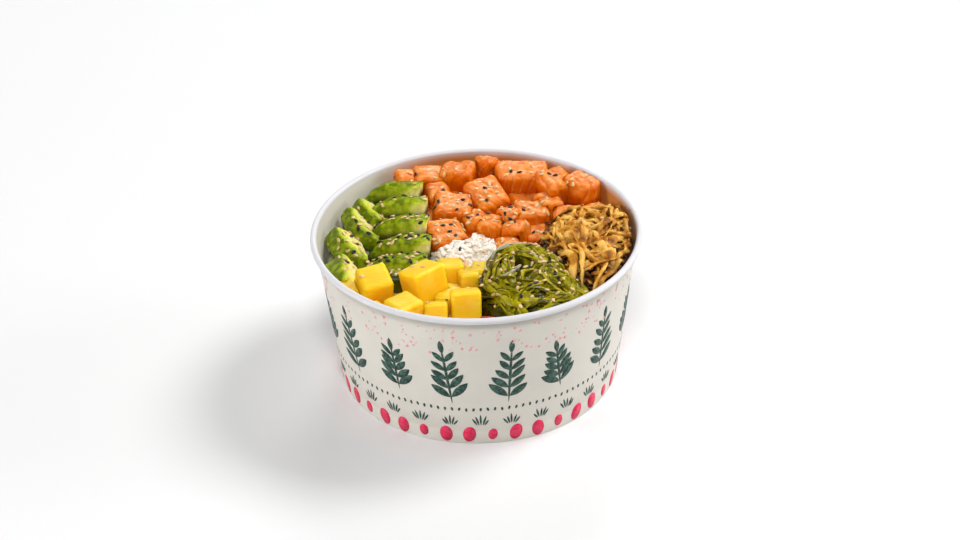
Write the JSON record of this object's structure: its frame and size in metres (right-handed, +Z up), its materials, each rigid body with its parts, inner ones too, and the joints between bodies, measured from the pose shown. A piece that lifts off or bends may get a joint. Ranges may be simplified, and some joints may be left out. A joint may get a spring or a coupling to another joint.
{
  "type": "poke bowl",
  "caption": "Round paper bowl of rice topped with salmon cubes, diced mango, sliced avocado, seaweed salad, crispy onion and sesame.",
  "frame": {"origin": "under the middle of the bowl, on the surface that it stands on", "axes": "+Z up; +Y away from the side with the mango, towards the salmon; +X towards the crispy onion"},
  "size_m": [0.15, 0.15, 0.0749],
  "materials": {
    "paper_board": "white coated board, satin",
    "print_green": "dark green print, satin",
    "print_red": "crimson print, satin",
    "print_pink": "pale pink print, satin",
    "rice": "cooked white rice, moist",
    "salmon": "raw salmon flesh, wet",
    "mango": "ripe mango flesh, moist",
    "avocado": "ripe avocado flesh, moist",
    "seaweed": "dressed seaweed, wet",
    "chilli": "red chilli, wet",
    "onion": "crisp golden crust, oily",
    "sesame_black": "dry black seed",
    "sesame_toasted": "dry toasted seed"
  },
  "bodies": {
    "root": {"mango_01": "mango", "mango_02": "mango", "mango_03": "mango", "mango_04": "mango", "mango_05": "mango", "mango_06": "mango", "mango_07": "mango", "mango_08": "mango", "mango_09": "mango", "mango_10": "mango", "mango_11": "mango", "mango_12": "mango", "mango_13": "mango", "salmon_01": "salmon", "salmon_02": "salmon", "salmon_03": "salmon", "salmon_04": "salmon", "salmon_05": "salmon", "salmon_06": "salmon", "salmon_07": "salmon", "salmon_08": "salmon", "salmon_09": "salmon", "salmon_10": "salmon", "salmon_11": "salmon", "salmon_12": "salmon", "salmon_13": "salmon", "salmon_14": "salmon", "salmon_15": "salmon", "salmon_16": "salmon", "salmon_17": "salmon", "salmon_18": "salmon", "salmon_19": "salmon", "salmon_20": "salmon", "salmon_21": "salmon", "salmon_22": "salmon", "salmon_23": "salmon", "salmon_24": "salmon", "salmon_25": "salmon", "avocado_01": "avocado", "avocado_02": "avocado", "avocado_03": "avocado", "avocado_04": "avocado", "avocado_05": "avocado", "avocado_06": "avocado", "avocado_07": "avocado", "avocado_08": "avocado", "avocado_09": "avocado", "avocado_10": "avocado", "avocado_11": "avocado", "chilli": "chilli", "seaweed_salad": "seaweed", "crispy_onion": "onion", "rice": "rice", "paper_wall": "paper_board", "paper_base": "paper_board"}
  },
  "joints": []
}
